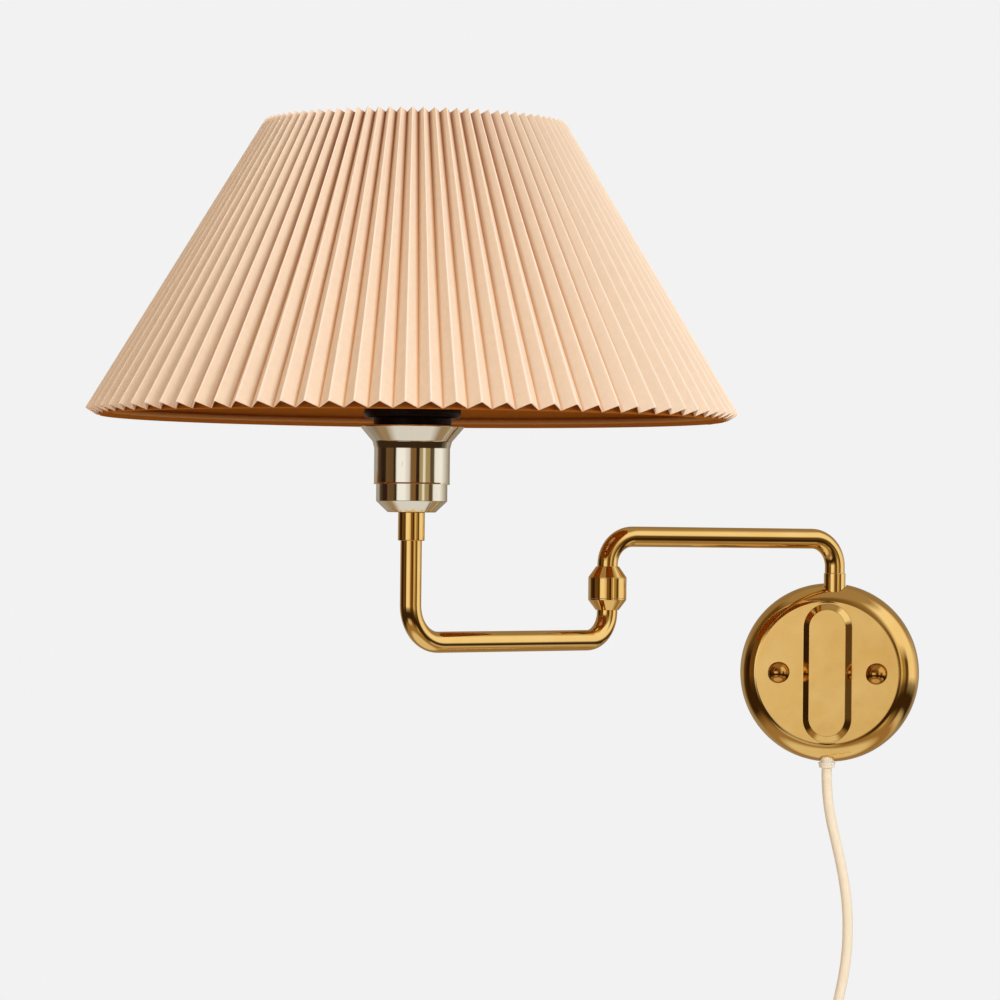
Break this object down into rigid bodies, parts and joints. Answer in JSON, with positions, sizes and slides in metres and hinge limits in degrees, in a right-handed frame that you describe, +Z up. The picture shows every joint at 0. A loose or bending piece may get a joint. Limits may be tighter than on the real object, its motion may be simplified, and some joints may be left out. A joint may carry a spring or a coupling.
{
  "type": "articulating wall light",
  "caption": "Swing-arm wall light: round wall plate, two brass arms with swivels, lampholder with a pleated empire shade, and a cord with an in-line switch and a plug.",
  "frame": {"origin": "on the wall, at the centre of the wall plate, midway between the bracket's two wall holes", "axes": "+Z up, -Y out of the wall, +X to the right seen from the room"},
  "size_m": [0.4868, 0.397, 0.7407],
  "materials": {
    "steel": "zinc plated",
    "polished_brass": "polished, lacquered",
    "contact_brass": "plain",
    "worn_nickel": "nickel plate, worn",
    "black_bakelite": "moulded, glossy",
    "porcelain": "unglazed",
    "white_plastic": "moulded, satin",
    "cord_sheath": "soft sheath, cream",
    "black_tie": "satin",
    "frame_wire": "lacquered wire",
    "pleated_fabric": "pleated, translucent",
    "liner_fabric": "smooth laminated lining",
    "bulb_glass": "frosted"
  },
  "bodies": {
    "root": {"wall_bracket": "steel", "cover_studs": "steel", "pivot_sleeve": "polished_brass", "wall_cover": "polished_brass", "domed_nuts": "polished_brass", "terminal_block": "white_plastic", "terminal_screws": "contact_brass", "cord_clamp": "white_plastic", "clamp_screws": "steel", "cord_bush": "white_plastic", "cord_inner": "cord_sheath", "flex_wall": "cord_sheath", "cord_upper": "cord_sheath", "switch_back": "white_plastic", "switch_front": "white_plastic", "switch_screws": "steel", "cord_lower": "cord_sheath", "cord_coil": "cord_sheath", "coil_tie": "black_tie", "plug_body": "white_plastic", "plug_pins": "worn_nickel"},
    "upper_arm_body": {"upper_arm": "polished_brass", "wall_spigot": "steel", "pivot_washer": "steel", "pivot_nut": "steel", "knuckle_cap": "polished_brass", "knuckle_barrel": "polished_brass", "flex_upper": "cord_sheath"},
    "lower_arm_body": {"elbow_pin": "steel", "elbow_washer": "steel", "elbow_nut": "steel", "knuckle_foot": "polished_brass", "lower_arm": "polished_brass", "flex_lower": "cord_sheath", "stem_collar": "polished_brass", "holder_nipple": "steel", "holder_base": "worn_nickel", "holder_locknut": "steel", "holder_sleeve": "worn_nickel", "lamp_barrel": "black_bakelite", "ceramic_core": "porcelain", "contact_screws": "contact_brass", "centre_contact": "contact_brass", "screw_shell": "contact_brass", "shade_ring": "black_bakelite", "clamp_ring": "black_bakelite", "shade_frame": "frame_wire", "bottom_wire": "frame_wire", "shade_liner": "liner_fabric", "shade_pleats": "pleated_fabric", "bulb_cap": "steel", "bulb_glass": "bulb_glass"},
    "rocker_body": {"switch_rocker": "white_plastic"}
  },
  "joints": [
    {"name": "wall_swivel", "type": "hinge", "parent": "root", "child": "upper_arm_body", "pos_m": [0.003, -0.0085, 0.058], "axis": [0, 0, 1], "range_deg": [-26.5, 133.5]},
    {"name": "elbow_swivel", "type": "hinge", "parent": "upper_arm_body", "child": "lower_arm_body", "pos_m": [-0.11919, -0.09891, 0.043], "axis": [0, 0, 1], "range_deg": [-166.5, 133.5]},
    {"name": "switch_rock", "type": "hinge", "parent": "root", "child": "rocker_body", "pos_m": [0.0065, -0.015, -0.24], "axis": [-1, 0, 0], "range_deg": [0, 14]}
  ]
}
